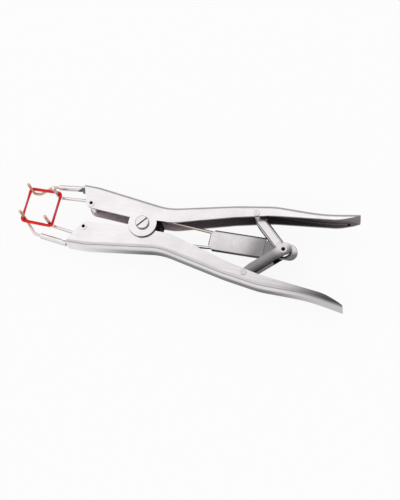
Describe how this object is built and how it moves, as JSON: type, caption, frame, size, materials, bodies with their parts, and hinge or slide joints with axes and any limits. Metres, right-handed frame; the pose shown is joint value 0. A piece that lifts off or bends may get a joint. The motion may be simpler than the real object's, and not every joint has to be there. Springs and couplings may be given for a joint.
{
  "type": "elastrator pliers",
  "caption": "Hand pliers that stretch a rubber ring over prongs: two pressed channel handles on a pivot, toggle links, a slider and sliding prong rods.",
  "frame": {"origin": "on the pivot axis, half-way across the width of the upper handle", "axes": "+X from the pivot to the grips along the centre line, +Y to the upper handle, +Z along the pivot axis, the way the prongs stand"},
  "size_m": [0.2266, 0.0646, 0.0313],
  "materials": {
    "steel": "nickel-plated pressed steel, softly polished",
    "bright": "plated steel, drawn and pressed",
    "hardware": "polished plated steel",
    "copper_wire": "copper-coloured plated wire",
    "block": "black moulded plastic",
    "ring_rubber": "smooth natural rubber"
  },
  "bodies": {
    "pivot": {"pivot_screw": "hardware", "pivot_nut": "hardware", "pivot_washer": "hardware", "pivot_bush": "hardware", "rod_guide_block": "block", "rubber_ring": "ring_rubber"},
    "upper_handle": {"upper_handle": "steel", "upper_prong_socket": "steel", "upper_outer_prong": "copper_wire", "upper_guide_pin": "hardware", "upper_link_pin": "hardware", "upper_spacer_near": "hardware", "upper_spacer_far": "hardware"},
    "lower_handle": {"lower_handle": "steel", "lower_prong_socket": "steel", "lower_outer_prong": "copper_wire", "lower_guide_pin": "hardware", "lower_link_pin": "hardware", "lower_spacer": "hardware"},
    "upper_link": {"upper_link": "bright"},
    "lower_link": {"lower_link": "bright", "knuckle_rivet": "hardware", "knuckle_shim_near": "hardware", "knuckle_shim_far": "hardware"},
    "slider": {"slider_box": "bright", "slider_tail": "bright", "tail_rivet_front": "hardware", "tail_rivet_rear": "hardware", "upper_rod_pin": "hardware", "lower_rod_pin": "hardware"},
    "upper_rod": {"upper_inner_prong": "bright"},
    "lower_rod": {"lower_inner_prong": "bright"}
  },
  "joints": [
    {"name": "upper_squeeze", "type": "hinge", "parent": "pivot", "child": "upper_handle", "pos_m": [0, 0, 0], "axis": [0, 0, -1], "range_deg": [-4, 5], "deforming": ["rubber_ring"]},
    {"name": "lower_squeeze", "type": "hinge", "parent": "pivot", "child": "lower_handle", "pos_m": [0, 0, 0], "axis": [0, 0, 1], "range_deg": [-4.02, 5.02]},
    {"name": "slider_pull", "type": "slide", "parent": "pivot", "child": "slider", "axis": [1, 0, 0], "range_m": [-0.00594, 0.00741]},
    {"name": "upper_link_turn", "type": "hinge", "parent": "upper_handle", "child": "upper_link", "pos_m": [0.074, 0.02075, 0], "axis": [0, 0, 1], "range_deg": [-17.37, 21.7]},
    {"name": "lower_link_turn", "type": "hinge", "parent": "lower_handle", "child": "lower_link", "pos_m": [0.074, -0.02075, 0], "axis": [0, 0, -1], "range_deg": [-17.37, 21.7]},
    {"name": "upper_rod_turn", "type": "hinge", "parent": "slider", "child": "upper_rod", "pos_m": [0.052, 0.00302, 0], "axis": [0, 0, -1], "range_deg": [-1.46, 1.81]},
    {"name": "lower_rod_turn", "type": "hinge", "parent": "slider", "child": "lower_rod", "pos_m": [0.052, -0.00478, 0], "axis": [0, 0, 1], "range_deg": [-1.52, 1.9]}
  ],
  "couplings": [
    {"joint": "lower_squeeze", "follows": "upper_squeeze", "ratio": 1},
    {"joint": "slider_pull", "follows": "upper_squeeze", "m_per_rad": 0.08472},
    {"joint": "upper_link_turn", "follows": "upper_squeeze", "ratio": 4.329},
    {"joint": "lower_link_turn", "follows": "upper_squeeze", "ratio": 4.329},
    {"joint": "upper_rod_turn", "follows": "upper_squeeze", "ratio": 0.359},
    {"joint": "lower_rod_turn", "follows": "upper_squeeze", "ratio": 0.376}
  ]
}
